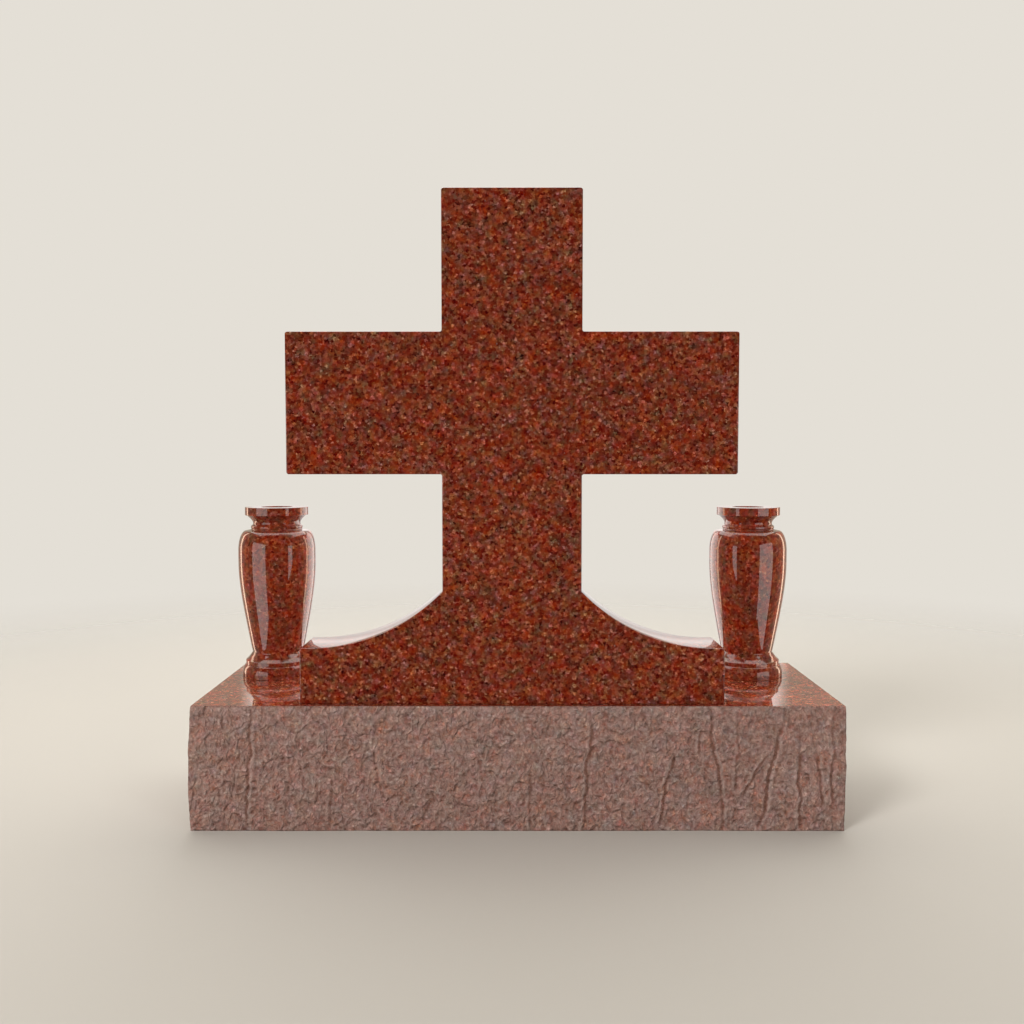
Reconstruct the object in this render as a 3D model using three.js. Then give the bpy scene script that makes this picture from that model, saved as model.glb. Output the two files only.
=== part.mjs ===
// Headstone in red granite: a Latin cross with a flared foot, on a base with rock-pitched sides,
// and a turned flower vase on each side of the foot.
// Millimetres, +Z up. The front faces -Y, and the origin is under the middle of the base.
import * as THREE from 'three';

// Base: the polished top is a true rectangle, and the pitched sides stand a little past its edges
const baseWidth = 1050;
const baseDepth = 340;
const baseHeight = 203;
const pitchBulge = 6.5;
const pitchColumn = 26;
const pitchRows = 8;
const pitchMargin = 14;
const stepWidth = 6;

// Cross: the cross and its vases share an axis that is a little left of the base's middle
const axisX = -9.5;
const crossThickness = 102;
const crossSetback = 12;
const crossHeight = 822;
const shaftWidth = 223.5;
const armSpan = 721;
const armUnderside = 371;
const armDepth = 226.5;
const footWidth = 686;
const footEndHeight = 91;
const flareRadius = 300;
const flareSweep = THREE.MathUtils.degToRad(46);
const cornerRadius = 4;
const innerRadius = 3;
const arris = 2;

// Vases: radii and heights of the turned profile, from the foot up
const vaseSpacing = 863;
const vaseSetback = 244;
const vaseSides = 32;
const vaseHeight = 308;
const footRadius = 65;
const footHeight = 19.5;
const notchRadius = 55.5;
const ringRadius = 57.3;
const ringBottom = 22.5;
const ringTop = 32;
const waistRadius = 45.5;
const waistHeight = 42;
const bellyRadius = 69.2;
const bellyHeight = 208;
const shoulderHeight = 233;
const shoulderRise = 30.5;
const shoulderReach = 14;
const coveRadius = 8.5;
const neckRadius = 45.5;
const neckHeight = 276;
const lipRadius = 56.5;
const lipBottom = 291.5;
const lipRound = 1.5;
const boreRadius = 28;
const boreDepth = 180;

const polishedRed = new THREE.Color(0x70331f);
const pitchedRed = new THREE.Color(0x896d62);

function polishedGranite() {
  return new THREE.MeshStandardMaterial({ color: polishedRed, roughness: 0.12, metalness: 0 });
}

function pitchedGranite() {
  return new THREE.MeshStandardMaterial({ color: pitchedRed, roughness: 0.85, metalness: 0 });
}

// Points on an ellipse's arc from angle a0 to angle a1, both ends included
function arc(centreX, centreY, radiusX, radiusY, a0, a1, segments) {
  const points = [];
  for (let i = 0; i <= segments; i += 1) {
    const a = a0 + ((a1 - a0) * i) / segments;
    points.push(new THREE.Vector2(centreX + radiusX * Math.cos(a), centreY + radiusY * Math.sin(a)));
  }
  return points;
}

// A point of a turned profile: its radius and its height
function at(radius, height) {
  return new THREE.Vector2(radius, height);
}

// Right half of the cross's outline, from the foot up; x is measured from the cross's axis
function crossHalfOutline() {
  const halfFoot = footWidth / 2;
  const halfShaft = shaftWidth / 2;
  const halfArm = armSpan / 2;
  const armTop = armUnderside + armDepth;
  const flareX = halfShaft + flareRadius * Math.sin(flareSweep);
  const flareY = footEndHeight + flareRadius;
  const r = cornerRadius;
  const f = innerRadius;
  const quarter = Math.PI / 2;
  return [
    new THREE.Vector2(halfFoot, 0),
    ...arc(halfFoot - r, footEndHeight - r, r, r, 0, quarter, 3),
    ...arc(flareX, flareY, flareRadius, flareRadius, -quarter, -quarter - flareSweep, 12),
    ...arc(halfShaft + f, armUnderside - f, f, f, Math.PI, quarter, 2),
    ...arc(halfArm - r, armUnderside + r, r, r, -quarter, 0, 3),
    ...arc(halfArm - r, armTop - r, r, r, 0, quarter, 3),
    ...arc(halfShaft + f, armTop + f, f, f, 3 * quarter, Math.PI, 2),
    ...arc(halfShaft - r, crossHeight - r, r, r, 0, quarter, 3),
  ];
}

// The slab: the outline with its arrises eased all round, front and back
function makeCross() {
  const right = crossHalfOutline();
  const left = right.map((p) => new THREE.Vector2(-p.x, p.y)).reverse();
  const geometry = new THREE.ExtrudeGeometry(new THREE.Shape([...right, ...left]), {
    depth: crossThickness - 2 * arris,
    bevelEnabled: true,
    bevelThickness: arris,
    bevelSize: arris,
    bevelOffset: -arris,
    bevelSegments: 2,
  });
  geometry.translate(0, 0, arris - crossThickness / 2);
  geometry.rotateX(Math.PI / 2);
  const mesh = new THREE.Mesh(geometry, polishedGranite());
  mesh.name = 'cross';
  mesh.position.set(axisX, crossSetback + crossThickness / 2 - baseDepth / 2, baseHeight);
  return mesh;
}

// Turned profile of a vase, from the middle of its underside, up the outside and down the bore
function vaseProfile() {
  const quarter = Math.PI / 2;
  const foot = new THREE.QuadraticBezierCurve(
    at(footRadius, 1.5),
    at(footRadius - 3.5, 0.65 * footHeight),
    at(notchRadius, footHeight),
  );
  const body = new THREE.CubicBezierCurve(
    at(waistRadius, waistHeight),
    at(waistRadius + 11, waistHeight + 62),
    at(bellyRadius, bellyHeight - 48),
    at(bellyRadius, bellyHeight),
  );
  const ledge = ringRadius - 0.5;
  const shoulderX = bellyRadius - shoulderReach;
  const coveY = shoulderHeight + shoulderRise + coveRadius;
  const neckReach = lipRadius - neckRadius;
  return [
    at(0, 0),
    at(footRadius - 1, 0),
    ...foot.getPoints(3),
    at(notchRadius, ringBottom - 1.5),
    at(ringRadius, ringBottom),
    at(ringRadius, ringTop - 1),
    ...arc(ledge, waistHeight, ledge - waistRadius, waistHeight - ringTop, -quarter, -2 * quarter, 4),
    ...body.getPoints(8).slice(1),
    ...arc(shoulderX, shoulderHeight, shoulderReach, shoulderRise, 0, quarter, 6),
    ...arc(shoulderX, coveY, coveRadius, coveRadius, -quarter, -2 * quarter, 3).slice(1),
    at(shoulderX - coveRadius, neckHeight - 1.5),
    at(neckRadius, neckHeight),
    ...arc(lipRadius, lipBottom - neckReach, neckReach, neckReach, 2 * quarter, quarter, 4),
    at(lipRadius, vaseHeight - lipRound),
    at(lipRadius - lipRound, vaseHeight),
    at(boreRadius + lipRound, vaseHeight),
    at(boreRadius, vaseHeight - lipRound),
    at(boreRadius, vaseHeight - boreDepth),
    at(0, vaseHeight - boreDepth),
  ];
}

function makeVase(name, side) {
  const geometry = new THREE.LatheGeometry(vaseProfile(), vaseSides);
  geometry.rotateX(Math.PI / 2);
  const mesh = new THREE.Mesh(geometry, polishedGranite());
  mesh.name = name;
  mesh.position.set(axisX + (side * vaseSpacing) / 2, vaseSetback - baseDepth / 2, baseHeight);
  return mesh;
}

// A repeatable number from 0 to 1 for a whole number
function chance(n) {
  let h = Math.imul(n + 1, 374761393);
  h = Math.imul(h ^ (h >>> 13), 1274126177);
  return ((h ^ (h >>> 16)) >>> 0) / 4294967295;
}

// Flakes of the pitched front, left to right: where a flake's edge crosses mid-height, how much
// further along its top end is than its bottom end, and how much the next flake stands out
const frontFlakes = [
  { place: -429, lean: 8, rise: 3.6 },
  { place: -301, lean: 10, rise: -1.6 },
  { place: -223, lean: -34, rise: 2 },
  { place: 17, lean: -8, rise: -1.6 },
  { place: 110, lean: 14, rise: -3 },
  { place: 243, lean: 38, rise: -3.2 },
  { place: 321, lean: -26, rise: 3.4 },
  { place: 349, lean: 4, rise: -2 },
  { place: 411, lean: 46, rise: 3.6 },
  { place: 449, lean: -5, rise: -3 },
  { place: 486, lean: -8, rise: 1.8 },
];

// Flakes of a plainer side, spread along it by chance
function plainFlakes(length, count, seed) {
  const flakes = [];
  for (let i = 0; i < count; i += 1) {
    const place = (i + 0.25 + 0.5 * chance(seed + i)) / count;
    const sign = i % 2 === 0 ? 1 : -1;
    flakes.push({
      place: (place - 0.5) * length,
      lean: 36 * (chance(seed + 50 + i) - 0.5),
      rise: sign * (1.8 + 1.8 * chance(seed + 100 + i)),
    });
  }
  return flakes;
}

// Columns of a side's grid: one on either side of each flake's edge, leaning with it, and evenly
// spaced ones between them
function sideColumns(side) {
  const marks = [{ place: -side.length / 2, lean: 0 }];
  for (const flake of side.flakes) {
    marks.push({ place: flake.place - stepWidth / 2, lean: flake.lean });
    marks.push({ place: flake.place + stepWidth / 2, lean: flake.lean });
  }
  marks.push({ place: side.length / 2, lean: 0 });
  const columns = [];
  for (let k = 0; k < marks.length - 1; k += 1) {
    const from = marks[k];
    const to = marks[k + 1];
    const steps = Math.max(1, Math.round((to.place - from.place) / pitchColumn));
    for (let i = 0; i < steps; i += 1) {
      columns.push({
        place: THREE.MathUtils.lerp(from.place, to.place, i / steps),
        lean: THREE.MathUtils.lerp(from.lean, to.lean, i / steps),
      });
    }
  }
  columns.push(marks[marks.length - 1]);
  return columns;
}

// How far a side's skin stands out at a place along it and a height (0 at the foot, 1 at the top):
// a swell between the two corners' own swells, slow waves, and a step at each flake's edge
function skinDepth(side, along, up) {
  const t = along / side.length + 0.5;
  let depth = 5 + side.startSwell * (1 - t) + side.endSwell * t;
  depth += 1.3 * Math.sin(along / 71 + side.phase + 2 * up);
  depth += 0.8 * Math.sin(along / 29 - 3 * up + 2 * side.phase);
  for (const flake of side.flakes) {
    const past = along - flake.place - flake.lean * (up - 0.5);
    depth += flake.rise * THREE.MathUtils.clamp(past / stepWidth, -0.5, 0.5);
  }
  const topEdge = 1 - Math.exp((-(1 - up) * baseHeight) / pitchMargin);
  const belly = 0.35 + 0.65 * Math.sin(Math.PI * Math.min(1, 0.12 + 0.95 * up));
  return Math.max(0, depth) * topEdge * belly;
}

// One pitched side as a grid of places along it and depths, scaled so that its boldest point
// stands out by pitchBulge
function sideGrid(side) {
  const grid = sideColumns(side).map((column) => {
    const points = [];
    for (let j = 0; j <= pitchRows; j += 1) {
      const up = j / pitchRows;
      const along = column.place + column.lean * (up - 0.5);
      points.push({ along, up, depth: skinDepth(side, along, up) });
    }
    return points;
  });
  const boldest = Math.max(...grid.flat().map((point) => point.depth));
  grid.flat().forEach((point) => {
    point.depth *= pitchBulge / boldest;
  });
  return grid;
}

// The block: four pitched sides in turn, seen from above counter-clockwise from the front left
// corner, closed by a flat polished top and a flat sawn underside
function makeBase() {
  const halfW = baseWidth / 2;
  const halfD = baseDepth / 2;
  const sides = [
    { length: baseWidth, middle: [0, -halfD], run: [1, 0], startSwell: 5, endSwell: -3, phase: 0.6 },
    { length: baseDepth, middle: [halfW, 0], run: [0, 1], startSwell: -3, endSwell: 1, phase: 2.1 },
    { length: baseWidth, middle: [0, halfD], run: [-1, 0], startSwell: 1, endSwell: 2, phase: 3.7 },
    { length: baseDepth, middle: [-halfW, 0], run: [0, -1], startSwell: 2, endSwell: 5, phase: 5.2 },
  ];
  sides.forEach((side, k) => {
    side.flakes = k === 0 ? frontFlakes : plainFlakes(side.length, Math.round(side.length / 95), 300 * k);
    side.grid = sideGrid(side);
  });

  const positions = [];
  sides.forEach((side, k) => {
    const before = sides[(k + 3) % 4];
    const [runX, runY] = side.run;
    side.grid.slice(0, -1).forEach((column, i) => {
      column.forEach((point, j) => {
        const corner = i === 0 ? before.grid[before.grid.length - 1][j].depth : 0;
        const along = point.along - corner;
        positions.push(side.middle[0] + runX * along + runY * point.depth);
        positions.push(side.middle[1] + runY * along - runX * point.depth);
        positions.push(point.up * baseHeight);
      });
    });
  });

  const rows = pitchRows + 1;
  const columns = positions.length / (3 * rows);
  const underside = columns * rows;
  const top = underside + 1;
  positions.push(0, 0, 0, 0, 0, baseHeight);
  const index = [];
  for (let i = 0; i < columns; i += 1) {
    const a = i * rows;
    const b = ((i + 1) % columns) * rows;
    for (let j = 0; j < pitchRows; j += 1) {
      index.push(a + j, b + j, b + j + 1, a + j, b + j + 1, a + j + 1);
    }
    index.push(underside, b, a, top, a + pitchRows, b + pitchRows);
  }
  const geometry = new THREE.BufferGeometry();
  geometry.setAttribute('position', new THREE.Float32BufferAttribute(positions, 3));
  geometry.setIndex(index);
  geometry.computeVertexNormals();
  const mesh = new THREE.Mesh(geometry, pitchedGranite());
  mesh.name = 'base';
  return mesh;
}

const headstone = new THREE.Group();
headstone.add(makeBase(), makeCross(), makeVase('vase_left', -1), makeVase('vase_right', 1));

export default headstone;
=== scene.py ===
import math
import bpy
import numpy as np
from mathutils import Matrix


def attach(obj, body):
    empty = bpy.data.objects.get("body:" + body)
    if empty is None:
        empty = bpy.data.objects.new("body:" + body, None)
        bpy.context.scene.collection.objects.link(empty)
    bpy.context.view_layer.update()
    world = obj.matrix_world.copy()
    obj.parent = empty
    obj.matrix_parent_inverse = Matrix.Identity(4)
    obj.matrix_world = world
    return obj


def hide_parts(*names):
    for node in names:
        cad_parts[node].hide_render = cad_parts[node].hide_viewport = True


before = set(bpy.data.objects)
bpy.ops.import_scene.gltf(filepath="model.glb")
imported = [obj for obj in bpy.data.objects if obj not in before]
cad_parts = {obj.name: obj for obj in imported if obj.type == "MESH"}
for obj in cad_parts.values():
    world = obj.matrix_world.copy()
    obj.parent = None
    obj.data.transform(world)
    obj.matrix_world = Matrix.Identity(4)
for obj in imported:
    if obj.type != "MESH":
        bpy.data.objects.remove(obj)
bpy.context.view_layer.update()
mm = 0.001
scene = bpy.context.scene
print("frame loaded:", sorted(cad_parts))


# A mesh from points in metres and faces; soft faces are smooth shaded, and which material each
# face takes is given by faceMaterial
def makePiece(name, points, faces, materials, soft, faceMaterial=None):
    mesh = bpy.data.meshes.new(name)
    mesh.from_pydata(points.tolist(), [], faces)
    mesh.polygons.foreach_set("use_smooth", np.asarray(soft, bool))
    for material in materials:
        mesh.materials.append(material)
    if faceMaterial is not None:
        mesh.polygons.foreach_set("material_index", np.asarray(faceMaterial, np.int32))
    mesh.validate()
    mesh.update()
    piece = bpy.data.objects.new(name, mesh)
    scene.collection.objects.link(piece)
    return piece


# Quads of a grid of points stored row by row, each row a closed ring: a point, the next one in
# its ring, and the same two in the next row
def ringQuads(rows, cols):
    r = np.arange(rows - 1)[:, None]
    c = np.arange(cols)[None, :]
    n = (c + 1) % cols
    return np.stack([r * cols + c, r * cols + n, (r + 1) * cols + n, (r + 1) * cols + c], -1).reshape(-1, 4)


# Points on an ellipse's arc: centre + radius * (cos a, sin a), a running evenly from a0 to a1
def arc(centre, radii, a0, a1, steps):
    a = np.radians(np.linspace(a0, a1, steps + 1))
    return np.array(centre) + np.array(radii) * np.stack([np.cos(a), np.sin(a)], 1)


# Points on a Bezier curve of any degree: the controls weighted by binomial * t^k * (1 - t)^(n - k)
def bezier(controls, steps):
    t = np.linspace(0, 1, steps + 1)[:, None]
    n = len(controls) - 1
    k = np.arange(n + 1)[None, :]
    binomial = np.array([math.comb(n, i) for i in range(n + 1)])[None, :]
    return (binomial * t ** k * (1 - t) ** (n - k)) @ np.array(controls, float)


# An output socket; + - * > and abs on it add Math nodes
class Wire:
    def __init__(self, tree, socket):
        self.tree = tree
        self.socket = socket

    def math(self, operation, *values):
        return self.node("ShaderNodeMath", {"operation": operation}, dict(enumerate(values)))

    def node(self, kind, settings=None, inputs=None):
        made = self.tree.nodes.new(kind)
        for key, value in (settings or {}).items():
            if key == "stops":
                ramp = made.color_ramp
                while len(ramp.elements) < len(value):
                    ramp.elements.new(0.5)
                for stop, (place, colour) in zip(ramp.elements, value):
                    stop.position = place
                    stop.color = (*colour, 1)
            else:
                setattr(made, key, value)
        for key, value in (inputs or {}).items():
            if isinstance(value, Wire):
                self.tree.links.new(value.socket, made.inputs[key])
            else:
                made.inputs[key].default_value = value
        return Wire(self.tree, next(o for o in made.outputs if o.enabled))

    def out(self, name, skip=0):
        found = [o for o in self.socket.node.outputs if o.name == name]
        return Wire(self.tree, found[skip] if skip < len(found) else found[0])

    def clamped(self):
        return self.node("ShaderNodeClamp", None, {0: self})

    def mixed(self, blend, factor, a, b):
        settings = {"data_type": "RGBA", "blend_type": blend}
        return self.node("ShaderNodeMix", settings, {0: factor, 6: a, 7: b}).out("Result", 2)

    def mix(self, a, b):
        return self.mixed("MIX", self, a, b)

    def __add__(self, other):
        return self.math("ADD", self, other)

    def __sub__(self, other):
        return self.math("SUBTRACT", self, other)

    def __rsub__(self, other):
        return self.math("SUBTRACT", other, self)

    def __mul__(self, other):
        return self.math("MULTIPLY", self, other)

    def __abs__(self):
        return self.math("ABSOLUTE", self)

    def __gt__(self, other):
        return self.math("GREATER_THAN", self, other)

    __radd__ = __add__
    __rmul__ = __mul__


# sRGB from 0 to 255 to Blender's linear colour, brightened by gain
def colour(r, g, b, gain=1.0):
    c = np.array([r, g, b]) / 255
    linear = np.where(c <= 0.04045, c / 12.92, ((c + 0.055) / 1.055) ** 2.4) * gain
    return tuple(float(v) for v in linear)


# A new material with its tree cleared down to a Principled shader and an output
def newMaterial(name):
    material = bpy.data.materials.new(name)
    material.use_nodes = True
    tree = material.node_tree
    tree.nodes.clear()
    shader = tree.nodes.new("ShaderNodeBsdfPrincipled")
    output = tree.nodes.new("ShaderNodeOutputMaterial")
    tree.links.new(shader.outputs[0], output.inputs[0])
    start = Wire(tree, shader.outputs[0])
    return material, tree, shader, start


granite = {
    "crystal": 4.3,            # mm across a crystal
    "fleck": 2.4,              # mm across the small ones
    "patch": 17.0,             # mm across a patch of one hue
    "mean": (110, 49, 26),     # colour of the stone in the studio
    "spread": 39.0,            # how far crystals are lighter or darker
    "redness": 32.0,           # how far patches are redder or greyer
    "tint": 0.2,               # how far patches are greener or more purple
    "speckle": 9.0,            # mm across the cells that may hold a pale speckle
    "pale": (150, 128, 116),   # and its colour
    "gain": 1.3,
}


# Shared by all of the granite
grain = {
    "wobble": 380.0,          # scale of the noise that pulls the crystals' edges about
    "wobbleReach": 0.004,     # m that it moves them at most
    "bigShare": 0.74,         # of the lightness that the crystals give
    "smallShare": 0.26,       # and the small ones
    "contrast": 1.14,
    "patchContrast": 1.5,     # how sharply red and grey patches part
    "crystalHue": 0.3,        # how far single crystals differ in hue
    "toneContrast": 2.2,      # how sharply green and purple patches part
    "speckleSize": 0.42,
    "speckleEdge": 2.2,
    "speckleless": 0.9,       # share of the cells without a speckle
    "speckleStrength": 0.8,
    "polish": 0.03,           # roughness of the polish, and how much it varies
}
# Places on the lightness ramp, and how many spreads lighter or darker the stone is there
bellCurve = (
    (0, -2.7), (0.03, -1.9), (0.12, -1.2), (0.3, -0.52), (0.5, 0),
    (0.7, 0.52), (0.88, 1.2), (0.97, 1.95), (1, 3.0),
)
lighter = np.array([0.58, 0.58, 0.57])     # way in sRGB from dark crystals to light ones
redder = np.array([0.79, -0.24, -0.56])    # and from grey patches to red ones


# Stops of a ramp that turns an even random number into a bell curve of lightness, along a line of
# colours through mean, with all of them moved towards red or grey by hue
def lightnessStops(mean, spread, hue, gain):
    stops = []
    for at, z in bellCurve:
        shade = np.array(mean) + z * spread * lighter + hue * redder
        stops.append((at, colour(*np.clip(shade, 1, 255), gain)))
    return stops


# Noise at a place
def noiseAt(place, scale, detail):
    return place.node("ShaderNodeTexNoise", None, {"Vector": place, "Scale": scale, "Detail": detail})


# Voronoi cells at a place
def cellsAt(place, scale):
    return place.node("ShaderNodeTexVoronoi", None, {"Vector": place, "Scale": scale})


# A place pushed about by a noise's colour times reach
def pushed(place, field, reach):
    push = place.node("ShaderNodeVectorMath", {"operation": "SCALE"}, {0: field, "Scale": reach})
    return place.node("ShaderNodeVectorMath", {"operation": "ADD"}, {0: place, 1: push})


# The red of a colour, whose green and blue are its outputs of that name
def channels(tint):
    return tint.node("ShaderNodeSeparateColor", None, {0: tint})


# Crystals of granite: a random lightness per Voronoi cell at two sizes, whose cells' edges a
# little noise pulls about, and slower noises that turn the hue red or grey, green or purple
def crystals(start, shift, stone):
    g = grain
    place = start.node("ShaderNodeTexCoord").out("Object")
    place = start.node("ShaderNodeMapping", None, {"Vector": place, "Location": shift})
    moved = pushed(place, noiseAt(place, g["wobble"], 1.0).out("Color"), g["wobbleReach"])
    big = channels(cellsAt(moved, 1000 / stone["crystal"]).out("Color"))
    small = channels(cellsAt(moved, 1000 / stone["fleck"]).out("Color"))
    light = big * g["bigShare"] + small * g["smallShare"]
    light = (light - 0.5) * g["contrast"] + 0.5
    red = lightnessStops(stone["mean"], stone["spread"], stone["redness"], stone["gain"])
    grey = lightnessStops(stone["mean"], stone["spread"], -stone["redness"], stone["gain"])
    red = start.node("ShaderNodeValToRGB", {"stops": red}, {0: light})
    grey = start.node("ShaderNodeValToRGB", {"stops": grey}, {0: light})
    hue = noiseAt(place, 1000 / stone["patch"], 1.5)
    hue = (hue - 0.5) * g["patchContrast"] + (big.out("Green") - 0.5) * g["crystalHue"] + 0.5
    made = hue.clamped().mix(grey, red)
    tone = channels(noiseAt(moved, 1400 / stone["patch"], 1.0).out("Color")).out("Blue")
    tone = ((tone - 0.5) * g["toneContrast"] + 0.5).clamped()
    t = stone["tint"]
    tone = tone.mix((1 - 0.1 * t, 1 + t, 1 - t, 1), (1 + 0.1 * t, 1 - t, 1 + t, 1))
    made = start.mixed("MULTIPLY", 1.0, made, tone)
    pale = cellsAt(moved, 1000 / stone["speckle"])
    core = (g["speckleSize"] - pale * g["speckleEdge"]).clamped() * g["speckleEdge"]
    rare = (channels(pale.out("Color")) > g["speckleless"]) * core.clamped() * g["speckleStrength"]
    made = rare.mix(made, (*colour(*stone["pale"], stone["gain"]), 1))
    return place, made, small


# Mirror-polished granite: crystals under a hard gloss, and a faint ripple where it is wide
def polishedGranite(name, shift, stone, ripple=0.0):
    material, tree, shader, start = newMaterial(name)
    place, made, small = crystals(start, shift, stone)
    tree.links.new(made.socket, shader.inputs["Base Color"])
    polish = small.out("Blue") * grain["polish"] + grain["polish"]
    tree.links.new(polish.socket, shader.inputs["Roughness"])
    if ripple:
        wave = noiseAt(place, 60.0, 2.0)
        bump = start.node("ShaderNodeBump", None, {"Strength": ripple, "Distance": mm, "Height": wave})
        tree.links.new(bump.socket, shader.inputs["Normal"])
    return material


pitched = {
    "crystal": 4.6,
    "fleck": 2.4,
    "patch": 25.0,
    "mean": (156, 119, 107),
    "spread": 31.0,
    "redness": 35.0,
    "tint": 0.07,
    "speckle": 9.0,
    "pale": (160, 136, 126),
    "gain": 1.3,
    "hollow": (100, 66, 54),      # broken stone in the shade of a ridge
    "ridge": (168, 144, 136),     # painted highlight: paler stone along a ridge
    "bump": 1.0,
    "roughness": 0.75,
    "stretch": (0.78, 1, 0.62),   # of the folds' noise, so that they run upright
    "foldShade": 0.46,            # how far a fold takes on its tone, a painted shade or highlight
    # Painted shade and highlight: how fast each tone comes with the relief in mm, and how far at most
    "shades": (("hollow", -0.8, 0.85), ("ridge", 0.55, 0.6)),
    # Folds: mm between them, how thin they are, mm they stand out or are sunk
    "folds": (
        (26.0, 15.0, -2.0), (17.0, 11.0, 1.4), (10.0, 8.0, -1.3), (7.0, 6.5, 0.9), (4.5, 5.0, -0.6),
    ),
}


# Broken granite: paler crystals, with painted shade in the hollows and a painted highlight on the ridges as
# the relief attribute says, and crumpled by folds of several sizes. A fold is 1 - thin * |noise - 0.5|,
# clamped, where the noise is stretched and pushed about; it paints shade or a highlight on the stone and
# moves the bump
def pitchedGranite(name, shift, stone, relieved=True):
    material, tree, shader, start = newMaterial(name)
    place, made, _ = crystals(start, shift, stone)
    height = noiseAt(place, 300.0, 2.0)
    stretched = start.node("ShaderNodeMapping", None, {"Vector": place, "Scale": stone["stretch"]})
    for size, thin, rise in stone["folds"]:
        warp = noiseAt(stretched, 600 / size, 1.0).out("Color")
        moved = pushed(stretched, warp, 0.7 * size * mm)
        fold = noiseAt(moved, 1000 / size, 1.0)
        fold = (1 - abs(fold - 0.5) * thin).clamped()
        # Each fold paints shade in the hollow tone where it is sunk, or a highlight in the ridge tone where
        # it stands out
        tone = stone["ridge"] if rise > 0 else stone["hollow"]
        made = (fold * stone["foldShade"]).mix(made, (*colour(*tone, stone["gain"]), 1))
        height = height + fold * rise
    # Painted shade in the hollows and a painted highlight on the ridges, as far as the relief attribute
    # says
    if relieved:
        relief = start.node("ShaderNodeAttribute", {"attribute_name": "relief"}).out("Fac")
        for tone, steep, most in stone["shades"]:
            shade = (relief * steep).clamped() * most
            made = shade.mix(made, (*colour(*stone[tone], stone["gain"]), 1))
    tree.links.new(made.socket, shader.inputs["Base Color"])
    shader.inputs["Roughness"].default_value = stone["roughness"]
    bump = start.node("ShaderNodeBump", None, {"Strength": stone["bump"], "Distance": mm, "Height": height})
    tree.links.new(bump.socket, shader.inputs["Normal"])
    return material


cross = {
    "axisX": -9.5,
    "thickness": 102,
    "frontY": -158,
    "bottom": 203,
    "height": 822,
    "shaftWidth": 223.5,
    "armSpan": 721,
    "armUnderside": 371,
    "armDepth": 226.5,
    "footWidth": 686,
    "footEndHeight": 91,
    "flareRadius": 300,
    "flareSweep": 46,
    "cornerRadius": 4,
    "innerRadius": 3,
    "arris": 2,
}


# Right half of the cross's outline in mm from its axis, from the foot up: straight edges, small
# round corners, and the flare's quarter-like arc of flareRadius about a centre above the foot
def halfOutline(c):
    foot = c["footWidth"] / 2
    shaft = c["shaftWidth"] / 2
    arm = c["armSpan"] / 2
    armTop = c["armUnderside"] + c["armDepth"]
    flareX = shaft + c["flareRadius"] * math.sin(math.radians(c["flareSweep"]))
    flareY = c["footEndHeight"] + c["flareRadius"]
    big = [c["flareRadius"]] * 2
    r = c["cornerRadius"]
    f = c["innerRadius"]
    return np.concatenate([
        [[foot, 0]],
        arc((foot - r, c["footEndHeight"] - r), (r, r), 0, 90, 6),
        arc((flareX, flareY), big, -90, -90 - c["flareSweep"], 64),
        arc((shaft + f, c["armUnderside"] - f), (f, f), 180, 90, 5),
        arc((arm - r, c["armUnderside"] + r), (r, r), -90, 0, 6),
        arc((arm - r, armTop - r), (r, r), 0, 90, 6),
        arc((shaft + f, armTop + f), (f, f), 270, 180, 5),
        arc((shaft - r, c["height"] - r), (r, r), 0, 90, 6),
    ])


# The outline moved inwards by each inset: every point slides along the bisector of its two edges
# by inset / cos(half the turn)
def inset(outline, insets):
    before = outline - np.roll(outline, 1, 0)
    after = np.roll(outline, -1, 0) - outline
    before /= np.linalg.norm(before, axis=1, keepdims=True)
    after /= np.linalg.norm(after, axis=1, keepdims=True)
    n0 = np.stack([-before[:, 1], before[:, 0]], 1)
    n1 = np.stack([-after[:, 1], after[:, 0]], 1)
    bisector = (n0 + n1) / (1 + np.sum(n0 * n1, 1, keepdims=True))
    return outline[None] + np.asarray(insets)[:, None, None] * bisector[None]


# The slab: the arris profile (a quarter circle front and back, a flat edge between) carried round
# the outline, with a flat face closing each end of it
def makeCross(c, material):
    right = halfOutline(c)
    left = right[::-1] * [-1, 1]
    outline = np.concatenate([right, left])
    a = c["arris"]
    t = c["thickness"]
    turn = np.radians(np.linspace(0, 90, 6))
    insets = np.concatenate([a * (1 - np.sin(turn)), a * (1 - np.cos(turn))])
    depths = np.concatenate([a * (1 - np.cos(turn)), t - a * (1 - np.sin(turn))])
    rings = inset(outline, insets)
    points = np.stack([
        c["axisX"] + rings[..., 0],
        c["frontY"] + np.broadcast_to(depths[:, None], rings.shape[:2]),
        c["bottom"] + rings[..., 1],
    ], -1)
    rows, cols = rings.shape[:2]
    quads = ringQuads(rows, cols)[:, ::-1]
    front = np.arange(cols)
    back = (rows - 1) * cols + np.arange(cols)[::-1]
    faces = quads.tolist() + [front.tolist(), back.tolist()]
    soft = [True] * len(quads) + [False, False]
    return makePiece("cross_slab", points.reshape(-1, 3) * mm, faces, [material], soft)


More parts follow.
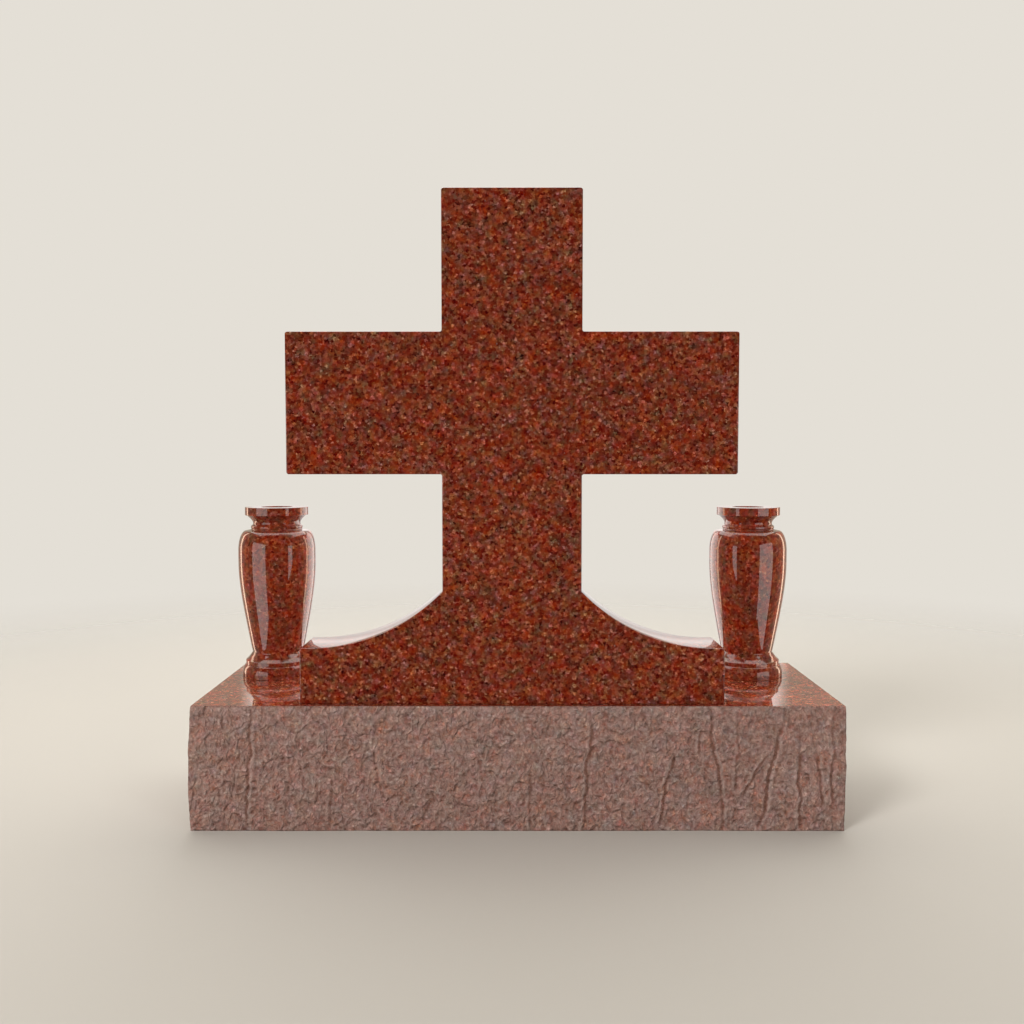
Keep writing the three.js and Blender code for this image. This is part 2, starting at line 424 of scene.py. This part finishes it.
vase = {
    "leftX": -441,
    "rightX": 422,
    "y": 74,
    "bottom": 203,
    "sides": 128,
    "height": 308,
    "footRadius": 64,
    "footWall": 6,
    "footRound": (7, 15),
    "ringRadius": 58,
    "ringBottom": 21.8,
    "ringTop": 28.3,
    "waistRadius": 45.7,
    "waistHeight": 44.5,
    "bellyRadius": 69.2,
    "bellyHeight": 208,
    "shoulderHeight": 228,
    "shoulderRise": 37.3,
    "shoulderReach": 14,
    "ledgeRise": 1.6,
    "coveRadius": 2.2,
    "collarRadius": 46.2,
    "collarTop": 275,
    "neckRadius": 41.8,
    "lipRadius": 56.5,
    "lipInner": 53.5,
    "lipBottom": 293.4,
    "boreRadius": 28,
    "boreDepth": 180,
    "ringRound": (1.6, 1.3),
    # Controls of the sweep from the ring to the waist: mm out from the waist, and height
    "footSweep": ((6.3, 34.2), (4.4, 37.2), (2.2, 40.4), (0, 42.4), (0, 44.5)),
    "ease": 0.7,        # mm cut off each sharp corner
    "spread": 30.0,     # its crystals differ less than the slab's
    "boreBump": 0.15,   # strength of the drilled wall's bump
}


# Turned profile in mm, from the middle of the underside up the outside and down the bore: arcs
# for the foot, the ring, the shoulder and the small cove on its ledge, and Bezier curves between
def vaseProfile(v):
    waist = v["waistRadius"]
    collar = v["collarRadius"]
    neck = v["neckRadius"]
    shoulderX = v["bellyRadius"] - v["shoulderReach"]
    ledgeTop = v["shoulderHeight"] + v["shoulderRise"] + v["ledgeRise"]
    coveX = collar - 0.6 + v["coveRadius"]
    scotia = [
        (neck + 1.4, v["collarTop"] + 0.8),
        (neck - 1.4, v["collarTop"] + 5),
        (neck + 2.8, v["lipBottom"] - 7.5),
        (v["lipInner"], v["lipBottom"] - 0.4),
    ]
    body = [
        (waist + 1.3, v["waistHeight"] + 4),
        (waist + 11.9, v["waistHeight"] + 62),
        (v["bellyRadius"], v["bellyHeight"] - 48),
        (v["bellyRadius"], v["bellyHeight"]),
    ]
    footSweep = [(waist + out, height) for out, height in v["footSweep"]]
    ringWide, ringHigh = v["ringRound"]
    floor = v["height"] - v["boreDepth"]
    outside = np.concatenate([
        [[0, 0], [v["footRadius"], 0]],
        arc((v["footRadius"] - v["footRound"][0], v["footWall"]), v["footRound"], 0, 56, 10),
        [[v["ringRadius"] + 1, v["ringBottom"] - 0.6], [v["ringRadius"], v["ringBottom"]]],
        arc((v["ringRadius"] - ringWide, v["ringTop"]), (ringWide, ringHigh), 0, 70, 5),
        bezier(footSweep, 14),
        bezier(body, 30),
        arc((shoulderX, v["shoulderHeight"]), (v["shoulderReach"], v["shoulderRise"]), 0, 90, 18),
        arc((coveX, ledgeTop + v["coveRadius"]), (v["coveRadius"],) * 2, -90, -180, 6),
        [[collar + 0.2, v["collarTop"] - 4]],
        [[collar - 0.2, v["collarTop"] - 1.4]],
        [[collar - 1.6, v["collarTop"]]],
        bezier(scotia, 14),
        [[v["lipRadius"], v["lipBottom"]], [v["lipRadius"], v["height"]], [v["boreRadius"], v["height"]]],
    ])
    inside = np.array([[v["boreRadius"], floor], [0, floor]])
    return np.concatenate([outside, inside]), len(outside)


# Corners that turn more than 20 degrees are cut back by ease and bridged by a quadratic curve,
# with one more point a little further out on either side that keeps the flats flat
def easeCorners(profile, ease):
    inner = profile[1:-1]
    back = profile[:-2] - inner
    on = profile[2:] - inner
    backLength = np.linalg.norm(back, axis=1)
    onLength = np.linalg.norm(on, axis=1)
    back /= backLength[:, None]
    on /= onLength[:, None]
    corner = np.sum(back * on, 1) > -math.cos(math.radians(20))
    cut = np.minimum(ease, 0.3 * np.minimum(backLength, onLength))[:, None, None]
    t = np.linspace(0, 1, 5)[None, :, None]
    curve = (1 - t) ** 2 * back[:, None] + t ** 2 * on[:, None]
    wide = np.concatenate([1.5 * back[:, None], curve, 1.5 * on[:, None]], 1) * cut
    points = inner[:, None] + np.where(corner[:, None, None], wide, 0)
    keep = np.zeros(points.shape[:2], bool)
    keep[:, 3] = True
    keep[corner] = True
    return np.concatenate([profile[:1], points[keep], profile[-1:]])


# The profile carried once round a vertical axis, closed by one point at each pole
def makeVase(name, x, v, materials):
    profile, outsideCount = vaseProfile(v)
    rim = profile[outsideCount - 1]
    profile = easeCorners(profile, v["ease"])
    rings = profile[1:-1]
    a = 2 * np.pi * np.arange(v["sides"]) / v["sides"]
    r = rings[:, :1]
    z = v["bottom"] + rings[:, 1:] + 0 * a
    points = np.stack([x + r * np.cos(a), v["y"] + r * np.sin(a), z], -1).reshape(-1, 3)
    rows = len(rings)
    cols = v["sides"]
    quads = ringQuads(rows, cols)
    poleLow = rows * cols
    poleHigh = poleLow + 1
    poles = [[x, v["y"], v["bottom"] + profile[k, 1]] for k in (0, -1)]
    points = np.concatenate([points, poles])
    c = np.arange(cols)
    n = (c + 1) % cols
    last = (rows - 1) * cols
    lowFan = np.stack([np.full(cols, poleLow), n, c], 1)
    highFan = np.stack([np.full(cols, poleHigh), last + c, last + n], 1)
    faces = quads.tolist() + lowFan.tolist() + highFan.tolist()
    middle = (rings[:-1] + rings[1:]) / 2
    inBore = (middle[:, 0] < rim[0] + 0.2) & (middle[:, 1] < rim[1] - 1.5)
    drilled = inBore & (np.arange(rows - 1) > rows // 2)
    slots = np.concatenate([np.repeat(drilled, cols), np.zeros(cols, bool), np.ones(cols, bool)])
    return makePiece(name, points * mm, faces, materials, [True] * len(faces), slots)


base = {
    "width": 1050,
    "depth": 340,
    "height": 203,
    "step": (1.8, 3.2),    # mm between the grid's columns, in front and elsewhere
    "rows": 84,
    "bulge": 6.5,          # mm that the skin stands out at most
    "swell": 5,            # mm that it stands out on average, and how much more at the start
    "swells": ((5, -3), (-4.5, 1), (1, 2), (2, 2)),    # and the end of each side, from the front
    "phases": (0.6, 2.1, 3.7, 5.2),                    # of each side's slow waves
    "topMargin": 5,        # mm over which the broken face starts below the top's edge
    "stepWidth": 2.0,      # mm over which a flake's edge steps out, more where it steps further
    "flakeEvery": 80,      # mm between flakes on the plainer sides
    "flakeReach": 70,      # mm over which a step dies away
    "flakeFade": 0.08,     # of the height over which an edge starts and ends
    "crumple": 3.0,        # mm of broken ridges on top of the flakes
    "reliefWindow": 3,     # cells each way that the relief is measured against
    "ripple": 0.05,        # strength of the polished top's faint ripple
}

# Flakes of the front: where an edge crosses mid-height, how much further along its top end is,
# how much the next flake stands out, the heights between which it shows, and its crack's depth
frontFlakes = [
    (-429, 8, 3.6, 0.0, 1.0, 2.2),
    (-301, 10, -1.6, 0.08, 0.42, 0.8),
    (-223, -34, 2.0, 0.3, 0.78, 0.8),
    (17, -8, -1.6, 0.0, 0.45, 1.0),
    (110, 14, -3.0, 0.0, 1.0, 1.8),
    (243, 38, -3.2, 0.05, 0.6, 2.0),
    (283, 22, -1.5, 0.62, 0.84, 2.2),
    (321, -26, 3.4, 0.0, 1.0, 2.4),
    (349, 4, -2.0, 0.35, 1.0, 1.2),
    (385, 130, -2.0, 0.3, 0.62, 2.2),
    (411, 46, 3.6, 0.0, 0.85, 2.6),
    (449, -5, -3.0, 0.0, 0.62, 2.2),
    (486, -8, 1.8, 0.2, 0.6, 1.6),
    (503, 4, -1.4, 0.2, 1.0, 1.6),
]


# A repeatable number from 0 to 1 for whole numbers i and j: multiplied by large odd numbers and
# mixed by shifts, in 32 bits
def chance(i, j, seed):
    i = np.asarray(i).astype(np.int64)
    j = np.asarray(j).astype(np.int64)
    n = (i * 374761393 + j * 668265263 + seed * 974711) & 0xFFFFFFFF
    n = ((n ^ (n >> 13)) * 1274126177) & 0xFFFFFFFF
    return ((n ^ (n >> 16)) & 0xFFFFFFFF) / 4294967295


# Noise from 0 to 1: random values on whole numbers, blended between them by 3t^2 - 2t^3
def noise(x, y, seed):
    i = np.floor(x)
    j = np.floor(y)
    u = x - i
    v = y - j
    u = u * u * (3 - 2 * u)
    v = v * v * (3 - 2 * v)
    low = chance(i, j, seed) * (1 - u) + chance(i + 1, j, seed) * u
    high = chance(i, j + 1, seed) * (1 - u) + chance(i + 1, j + 1, seed) * u
    return low * (1 - v) + high * v


# Broken ridges from 0 to 1: 1 - |2 noise - 1|, summed over octaves of half the size and strength,
# on coordinates pushed about by slower noise
def ridges(x, y, size, octaves, seed):
    x = x / size + 1.1 * (noise(x / size / 1.7, y / size / 1.7, seed + 7) - 0.5)
    y = y / size + 1.1 * (noise(x * 0.6 + 31, y / size / 1.7, seed + 8) - 0.5)
    total = 0
    weight = 0
    for k in range(octaves):
        gain = 0.55 ** k
        total = total + gain * (1 - np.abs(2 * noise(x * 2 ** k, y * 2 ** k, seed + k) - 1))
        weight += gain
    return total / weight


# Flakes of a plainer side, spread along it by chance
def plainFlakes(length, count, seed):
    i = np.arange(count)
    place = ((i + 0.25 + 0.5 * chance(i, 0, seed)) / count - 0.5) * length
    lean = 50 * (chance(i, 1, seed) - 0.5)
    rise = np.where(i % 2 == 0, 1, -1) * (1.6 + 1.8 * chance(i, 2, seed))
    low = 0.5 * np.floor(2 * chance(i, 3, seed)) * chance(i, 4, seed)
    high = 1 - 0.5 * np.floor(2 * chance(i, 5, seed)) * chance(i, 6, seed)
    return np.stack([place, lean, rise, low, high, 1.2 + 1.2 * chance(i, 7, seed)], 1)


# How far a side's skin stands out, in mm, at places along it and heights from 0 to 1: the swell
# between its corners, slow waves, and broken ridges. Each flake's edge is a step, clamped and
# dying away along the side, with a bell-shaped groove at its foot and a lip on its high side
def skinDepth(side, along, up, b):
    t = along / side["length"] + 0.5
    z = up * b["height"]
    seed = side["seed"]
    depth = b["swell"] + side["startSwell"] * (1 - t) + side["endSwell"] * t
    depth = depth + 1.3 * np.sin(along / 71 + side["phase"] + 2 * up)
    depth = depth + 0.8 * np.sin(along / 29 - 3 * up + 2 * side["phase"])
    for k, (place, lean, rise, low, high, crack) in enumerate(side["flakes"]):
        coarse = 7 * (noise(z / 26, 0 * z + k, seed + 40) - 0.5)
        fine = 3 * (noise(z / 8, 0 * z + k, seed + 41) - 0.5)
        past = along - place - lean * (up - 0.5) - (coarse + fine)
        fade = b["flakeFade"]
        shows = np.clip((up - low) / fade + 0.5, 0, 1) * np.clip((high - up) / fade + 0.5, 0, 1)
        reach = np.exp(-np.abs(past) / b["flakeReach"])
        width = b["stepWidth"] + 1.2 * abs(rise)
        depth = depth + rise * shows * reach * np.clip(past / width, -0.5, 0.5)
        down = past * (1 if rise < 0 else -1)    # mm past the edge on its low side
        depth = depth - crack * shows * np.exp(-((down - 1.8) / (1.6 + 0.5 * crack)) ** 2)
        depth = depth + 0.7 * crack * shows * np.exp(-((down + 3) / 2.5) ** 2)
    depth = 0.8 * depth + b["crumple"] * (ridges(along, z * 0.8, 34, 3, seed) - 0.5)
    depth = depth + 0.75 * b["crumple"] * (ridges(along * 1.1, z * 0.75, 11, 2, seed + 20) - 0.5)
    topEdge = 1 - np.exp(-(1 - up) * b["height"] / b["topMargin"])
    belly = 0.45 + 0.55 * np.sin(np.pi * np.minimum(1, 0.12 + 0.95 * up))
    return np.maximum(depth, 0.2) * topEdge * belly


# A grid less its own average over a window of w cells each way
def standout(depth, w):
    padded = np.pad(depth, w, mode="edge")
    blur = np.zeros_like(depth)
    for i in range(2 * w + 1):
        for j in range(2 * w + 1):
            blur += padded[i:i + depth.shape[0], j:j + depth.shape[1]]
    return depth - blur / (2 * w + 1) ** 2


# The block: four broken sides in turn, from above counter-clockwise from the front left corner,
# each a grid of places along it and heights moved outwards by skinDepth
def makeBase(b, topMaterial, sideMaterial):
    halfW = b["width"] / 2
    halfD = b["depth"] / 2
    middles = ((0, -halfD), (halfW, 0), (0, halfD), (-halfW, 0))
    runs = ((1, 0), (0, 1), (-1, 0), (0, -1))
    up = np.linspace(0, 1, b["rows"] + 1)
    grids = []
    for k in range(4):
        length = b["width"] if k % 2 == 0 else b["depth"]
        startSwell, endSwell = b["swells"][k]
        side = {"length": length, "startSwell": startSwell, "endSwell": endSwell, "phase": b["phases"][k]}
        side["seed"] = 100 + 60 * k
        count = round(length / b["flakeEvery"])
        side["flakes"] = frontFlakes if k == 0 else plainFlakes(length, count, 300 + k)
        steps = round(length / b["step"][0 if k == 0 else 1])
        along = np.linspace(-0.5, 0.5, steps + 1) * length
        depth = skinDepth(side, along[:, None], up[None, :], b)
        scaled = depth * b["bulge"] / max(b["bulge"], depth.max())
        grids.append((along, scaled, standout(depth, b["reliefWindow"])))
    columns = []
    relief = []
    for k in range(4):
        along, depth, stand = grids[k]
        corner = np.zeros_like(depth)
        corner[0] = grids[(k + 3) % 4][1][-1]
        place = along[:, None] - corner
        runX, runY = runs[k]
        x = middles[k][0] + runX * place + runY * depth
        y = middles[k][1] + runY * place - runX * depth
        z = np.broadcast_to(up[None, :] * b["height"], x.shape)
        columns.append(np.stack([x, y, z], -1)[:-1])
        relief.append(stand[:-1])
    ring = np.concatenate(columns).transpose(1, 0, 2)
    reliefRing = np.concatenate(relief).T
    rows, cols = ring.shape[:2]
    quads = ringQuads(rows, cols)
    under = np.arange(cols)[::-1]
    top = (rows - 1) * cols + np.arange(cols)
    faces = quads.tolist() + [under.tolist(), top.tolist()]
    soft = [True] * len(quads) + [False, False]
    slots = [1] * len(quads) + [1, 0]
    materials = [topMaterial, sideMaterial]
    piece = makePiece("base_block", ring.reshape(-1, 3) * mm, faces, materials, soft, slots)
    # How far each point stands out from its neighbours, which the broken granite turns into painted shade
    # and highlight
    attribute = piece.data.attributes.new("relief", "FLOAT", "POINT")
    attribute.data.foreach_set("value", reliefRing.reshape(-1).astype(np.float32))
    return piece


crossPiece = makeCross(cross, polishedGranite("granite cross", (0.13, 0.4, 0.27), granite))
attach(crossPiece, "root")
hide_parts("cross")
print("cross made:", len(crossPiece.data.polygons), "faces")

turnedGranite = {**granite, "spread": vase["spread"]}
drilledStone = {**pitched, "bump": vase["boreBump"]}
drilledGranite = pitchedGranite("granite drilled", (0.7, 0.1, 0.9), drilledStone, False)
for node, x, shift in (
    ("vase_left", vase["leftX"], (2.1, 0.7, 0.3)),
    ("vase_right", vase["rightX"], (3.4, 1.9, 0.8)),
):
    polished = polishedGranite("granite " + node, shift, turnedGranite)
    turned = makeVase(node + "_turned", x, vase, [polished, drilledGranite])
    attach(turned, "root")
    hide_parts(node)
    print(node, "made:", len(turned.data.polygons), "faces")

topGranite = polishedGranite("granite base top", (5.2, 4.1, 1.2), granite, base["ripple"])
basePiece = makeBase(base, topGranite, pitchedGranite("granite pitched", (1.3, 0.2, 0.6), pitched))
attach(basePiece, "root")
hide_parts("base")
print("base made:", len(basePiece.data.polygons), "faces")


studio = {
    "floor": (204, 200, 193),
    "backdrop": (228, 223, 214),
    "clear": 1.1,            # m from the middle out to which the floor is solid
    "fade": 3.2,             # m at which it has faded into the backdrop
    "front": 0.04,           # light of the room behind the camera
    "side": 0.55,            # and beside and behind the stone
    "panel": 1.75,           # bright wall straight behind the stone
    "spread": 0.26,          # half its width for each metre behind the stone
    # Radiance of the lamps
    "softbox": 2.7,          # in front, to the left and right
    "rim strip": 5.0,        # the warm strips at the back
    "card": 2.7,             # the white card that each vase sees behind the cross
    "vase light": 13.6,      # on either side, for the vases alone
    "ceiling gloss": 3.2,    # the ceiling as the gloss shows it
    "ceiling": 1.7,          # and the light that it gives behind the stone
    "over the base": 7.4,    # for the base alone
    "key": 23.0,             # up to the left
    "fill": 6.0,             # and on the right
}


# Smooth step, 3t^2 - 2t^3, between two results as value goes from low to high
def smoothStep(value, low, high, atLow, atHigh):
    limits = {0: value, 1: low, 2: high, 3: atLow, 4: atHigh}
    return value.node("ShaderNodeMapRange", {"interpolation_type": "SMOOTHSTEP"}, limits)


# A round floor that fades out between two distances from its middle
def makeFloor(s):
    a = np.radians(np.arange(0, 360, 5))
    points = np.stack([s["fade"] * np.cos(a), s["fade"] * np.sin(a), 0 * a], -1)
    material, tree, shader, start = newMaterial("floor pale")
    shader.inputs["Base Color"].default_value = (*colour(*s["floor"]), 1)
    shader.inputs["Roughness"].default_value = 0.9
    shader.inputs["Specular IOR Level"].default_value = 0.1
    place = start.node("ShaderNodeTexCoord").out("Object")
    far = start.node("ShaderNodeVectorMath", {"operation": "LENGTH"}, {0: place}).out("Value")
    alpha = smoothStep(far, s["clear"], s["fade"], 1.0, 0.0)
    tree.links.new(alpha.socket, shader.inputs["Alpha"])
    floor = makePiece("floor", points, [list(range(len(points)))], [material], [False])
    floor.visible_glossy = False


# Turn that points a lamp's -Z from place to target, with its Y axis up
def aim(place, target):
    dx, dy, dz = np.array(target, float) - np.array(place, float)
    flat = math.hypot(dx, dy)
    return (math.atan2(flat, -dz), 0, math.atan2(-dx, dy))


# An area light of a given radiance: its power is radiance * pi * its area. It shows in gloss or
# in diffuse light
def makeLight(name, place, target, size, radiance, tint, shows):
    width, height = size
    light = bpy.data.lights.new(name, "AREA")
    light.shape = "RECTANGLE"
    light.size = width
    light.size_y = height
    light.energy = radiance * math.pi * width * height
    light.color = tint
    lamp = bpy.data.objects.new(name, light)
    lamp.location = place
    lamp.rotation_euler = aim(place, target)
    lamp.visible_camera = False
    lamp.visible_diffuse = shows == "diffuse"
    lamp.visible_glossy = shows == "gloss"
    scene.collection.objects.link(lamp)
    return lamp


# A collection of the named pieces
def group(name, pieces):
    made = bpy.data.collections.new(name)
    for piece in pieces:
        made.objects.link(bpy.data.objects[piece])
    return made


# Limit a lamp to the pieces that it lights and, where they are given, those that shade it
def limit(lamp, lit, shading=None):
    lamp.light_linking.receiver_collection = group("lit by " + lamp.name, lit)
    if shading:
        lamp.light_linking.blocker_collection = group("shading " + lamp.name, shading)


# The room: a plain pale backdrop for the camera; for gloss and light a dim front, brighter sides,
# and straight behind the stone a bright wall that is brightest a little above eye level
def makeRoom(s):
    world = bpy.data.worlds.new("room")
    scene.world = world
    world.use_nodes = True
    tree = world.node_tree
    tree.nodes.clear()
    output = tree.nodes.new("ShaderNodeOutputWorld")
    shown = tree.nodes.new("ShaderNodeBackground")
    shown.inputs["Color"].default_value = (*colour(*s["backdrop"]), 1)
    start = Wire(tree, shown.outputs[0])
    direction = start.node("ShaderNodeTexCoord").out("Generated")
    parts = start.node("ShaderNodeSeparateXYZ", None, {0: direction})
    x = abs(parts.out("X"))
    y = parts.out("Y")
    z = parts.out("Z")
    around = smoothStep(y, -0.5, 0.6, s["front"], s["side"])
    wide = smoothStep(x - y * s["spread"], 0.0, 0.02, 1.0, 0.0)
    ahead = wide * smoothStep(y, 0.0, 0.3, 0.0, 1.0)
    rise = smoothStep(z, 0.02, 0.17, 0.53 * s["panel"], s["panel"])
    fall = smoothStep(z, 0.35, 0.8, 1.0, 0.5)
    level = ahead * (rise * fall) + (1 - ahead) * around
    warm = ahead.mix((1.0, 0.93, 0.74, 1), (1.0, 0.97, 0.93, 1))
    lit = start.node("ShaderNodeBackground", None, {"Color": warm, "Strength": level})
    seen = start.node("ShaderNodeLightPath").out("Is Camera Ray")
    final = start.node("ShaderNodeMixShader", None, {0: seen, 1: lit, 2: start})
    tree.links.new(final.socket, output.inputs[0])


# Lamps: place, what they point at, width and height, tint, and what they show in; those of
# sideLamps stand on both sides, as here on the right and mirrored on the left
warmWhite = (1, 0.97, 0.94)
daylight = (1, 0.98, 0.96)
sideLamps = (
    ("softbox", (1.325, -0.953, 0.15), (0, 0, 0.15), (1.07, 1.32), (1, 0.97, 0.95), "gloss"),
    ("rim strip", (2.6, 1.29, 0.3), (0, 0, 0.3), (0.4, 3.6), (1, 0.72, 0.52), "gloss"),
    ("card", (-0.16, 0.52, 0.1), (-0.16, 0, 0.1), (0.7, 1.3), warmWhite, "gloss"),
    ("vase light", (5.5, -2.6, 2.0), (0, 0.07, 0.35), (2.4, 2.4), (1, 0.95, 0.92), "diffuse"),
)
middleLamps = (
    ("ceiling gloss", (0, 0.75, 2.3), (0, 0.76, 0), (4.2, 3.5), warmWhite, "gloss"),
    ("ceiling", (0, 1.5, 2.3), (0, 1.51, 0), (4.2, 3.2), warmWhite, "diffuse"),
    ("over the base", (0, 0.4, 2.3), (0, 0.41, 0), (1.2, 0.9), warmWhite, "diffuse"),
    ("key", (-4.6, -5.5, 5.0), (0, -0.17, 0.4), (2.4, 2.4), daylight, "diffuse"),
    ("fill", (4.0, -5.2, 2.4), (0, -0.17, 0.4), (2.0, 2.0), daylight, "diffuse"),
)
bothVases = ["vase_left_turned", "vase_right_turned"]
litAlone = {
    "over the base": ["base_block"],
    "key": ["floor", "base_block", "cross_slab"],
    "fill": ["floor", "base_block", "cross_slab"],
}

makeFloor(studio)
makeRoom(studio)
for sign, side in ((-1, "left"), (1, "right")):
    for kind, place, target, size, tint, shows in sideLamps:
        place = (sign * place[0], *place[1:])
        target = (sign * target[0], *target[1:])
        lamp = makeLight(kind + " " + side, place, target, size, studio[kind], tint, shows)
        if kind == "card":
            limit(lamp, ["vase_" + side + "_turned"])
        if kind == "vase light":
            limit(lamp, bothVases, bothVases)
for kind, place, target, size, tint, shows in middleLamps:
    lamp = makeLight(kind, place, target, size, studio[kind], tint, shows)
    if kind in litAlone:
        limit(lamp, litAlone[kind])
scene.view_settings.view_transform = "Standard"
scene.view_settings.look = "None"
print("studio ready")

view = {
    "lens": 35,
    "sensor": 36,
    "place": (-0.005263, -1.746524, 0.599831),
    "tilt": 3.098,       # degrees below level
    "turn": 0.002654,    # radians to the left
}
camera = bpy.data.cameras.new("camera")
camera.lens = view["lens"]
camera.sensor_width = view["sensor"]
cameraObject = bpy.data.objects.new("camera", camera)
cameraObject.location = view["place"]
cameraObject.rotation_euler = (math.radians(90 - view["tilt"]), 0, view["turn"])
scene.collection.objects.link(cameraObject)
scene.camera = cameraObject
print("camera ready")
